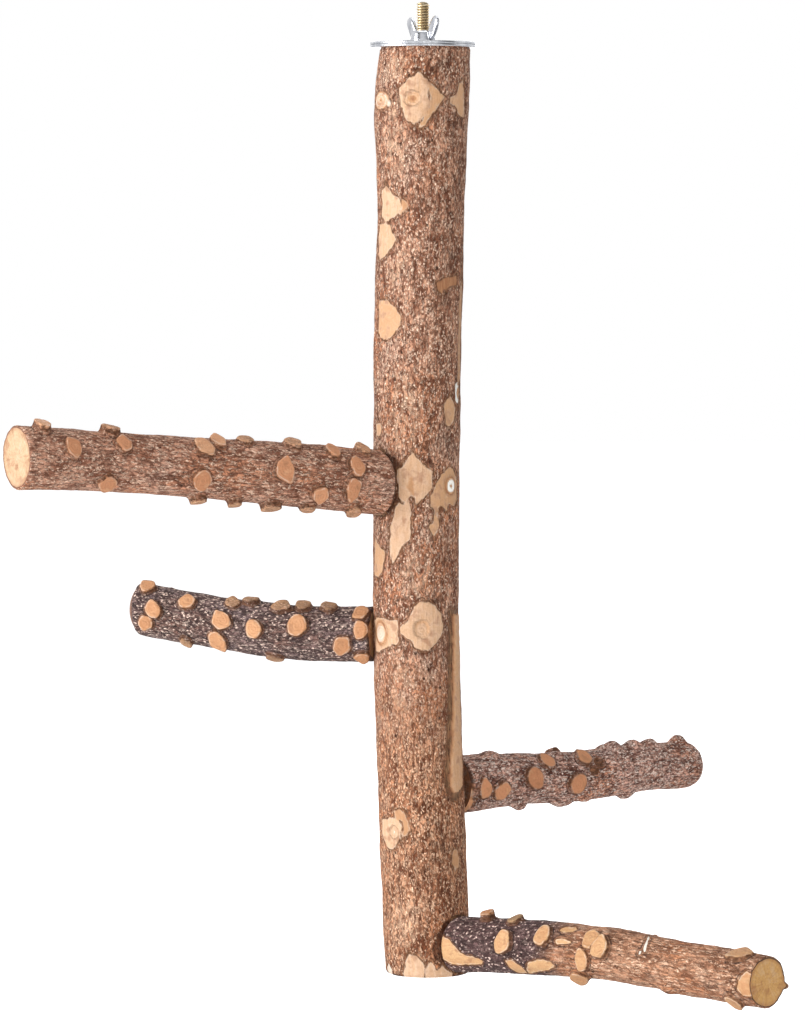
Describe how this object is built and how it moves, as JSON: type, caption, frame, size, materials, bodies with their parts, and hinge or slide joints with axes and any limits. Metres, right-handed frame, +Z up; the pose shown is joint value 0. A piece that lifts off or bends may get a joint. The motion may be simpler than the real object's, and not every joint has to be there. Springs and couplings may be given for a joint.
{
  "type": "hanging bird perch",
  "caption": "Hanging bird perch: an upright barked trunk with knobbly screw-on side perches, clamped to a cage roof by a threaded stud, wing nut and broad washers.",
  "frame": {"origin": "on the hanging stud's axis, at the clamp plane between the two washers, where the cage roof goes", "axes": "+Z up along the stud, +X to the right and +Y away from a viewer who faces the perch as pictured"},
  "size_m": [0.3562, 0.2673, 0.4668],
  "materials": {
    "trunk_bark": "mid-brown bark with pale specks, tan knots and sanded flat ends",
    "upper_left_bark": "brown bark with orange-tan cut prickles",
    "lower_left_bark": "dark grey-brown bark with pale flecks and tan cut prickles",
    "upper_right_bark": "pinkish grey-brown bark with orange-tan cut prickles",
    "lower_right_bark": "dark bark at the root and lighter brown bark outwards, with tan cut prickles",
    "bright_zinc": "bright zinc plate",
    "yellow_zinc": "yellow zinc plate, brass coloured",
    "insert_zinc": "dull zinc alloy"
  },
  "bodies": {
    "trunk_assembly": {"trunk": "trunk_bark", "hanging_stud": "yellow_zinc", "lower_washer": "bright_zinc", "upper_left_insert": "insert_zinc", "lower_left_insert": "insert_zinc", "upper_right_insert": "insert_zinc", "lower_right_insert": "insert_zinc"},
    "upper_washer": {"upper_washer": "bright_zinc"},
    "wing_nut": {"wing_nut": "bright_zinc"},
    "upper_left_bolt": {"upper_left_bolt": "yellow_zinc"},
    "upper_left_perch": {"upper_left_perch": "upper_left_bark"},
    "lower_left_bolt": {"lower_left_bolt": "yellow_zinc"},
    "lower_left_perch": {"lower_left_perch": "lower_left_bark"},
    "upper_right_bolt": {"upper_right_bolt": "yellow_zinc"},
    "upper_right_perch": {"upper_right_perch": "upper_right_bark"},
    "lower_right_bolt": {"lower_right_bolt": "yellow_zinc"},
    "lower_right_perch": {"lower_right_perch": "lower_right_bark"}
  },
  "joints": [
    {"name": "upper_washer_lift", "type": "slide", "parent": "trunk_assembly", "child": "upper_washer", "axis": [0, 0, 1], "range_m": [0, 0.0127]},
    {"name": "wing_nut_turn", "type": "hinge", "parent": "upper_washer", "child": "wing_nut", "pos_m": [0, 0, 0.0013], "axis": [0, 0, 1], "range_deg": [0, 3604]},
    {"name": "upper_left_bolt_travel", "type": "slide", "parent": "trunk_assembly", "child": "upper_left_bolt", "axis": [-0.8572, -0.515, 0], "range_m": [0, 0.014]},
    {"name": "upper_left_perch_turn", "type": "hinge", "parent": "upper_left_bolt", "child": "upper_left_perch", "pos_m": [-0.02043, -0.01015, -0.2088], "axis": [-0.8572, -0.515, 0], "range_deg": [0, 3960]},
    {"name": "lower_left_bolt_travel", "type": "slide", "parent": "trunk_assembly", "child": "lower_left_bolt", "axis": [-0.9659, 0.2588, 0], "range_m": [0, 0.014]},
    {"name": "lower_left_perch_turn", "type": "hinge", "parent": "lower_left_bolt", "child": "lower_left_perch", "pos_m": [-0.02271, 0.0046, -0.2828], "axis": [-0.9659, 0.2588, 0], "range_deg": [0, 3960]},
    {"name": "upper_right_bolt_travel", "type": "slide", "parent": "trunk_assembly", "child": "upper_right_bolt", "axis": [0.788, 0.6157, 0], "range_m": [0, 0.014]},
    {"name": "upper_right_perch_turn", "type": "hinge", "parent": "upper_right_bolt", "child": "upper_right_perch", "pos_m": [0.0151, 0.0117, -0.3568], "axis": [0.788, 0.6157, 0], "range_deg": [0, 3960]},
    {"name": "lower_right_bolt_travel", "type": "slide", "parent": "trunk_assembly", "child": "lower_right_bolt", "axis": [0.7547, -0.6561, 0], "range_m": [0, 0.014]},
    {"name": "lower_right_perch_turn", "type": "hinge", "parent": "lower_right_bolt", "child": "lower_right_perch", "pos_m": [0.01689, -0.01342, -0.4308], "axis": [0.7547, -0.6561, 0], "range_deg": [0, 3960]}
  ],
  "couplings": [
    {"joint": "wing_nut_turn", "follows": "upper_washer_lift", "rad_per_m": 4947.4},
    {"joint": "upper_left_bolt_travel", "follows": "upper_left_perch_turn", "m_per_rad": 0.00020213},
    {"joint": "lower_left_bolt_travel", "follows": "lower_left_perch_turn", "m_per_rad": 0.00020213},
    {"joint": "upper_right_bolt_travel", "follows": "upper_right_perch_turn", "m_per_rad": 0.00020213},
    {"joint": "lower_right_bolt_travel", "follows": "lower_right_perch_turn", "m_per_rad": 0.00020213}
  ]
}
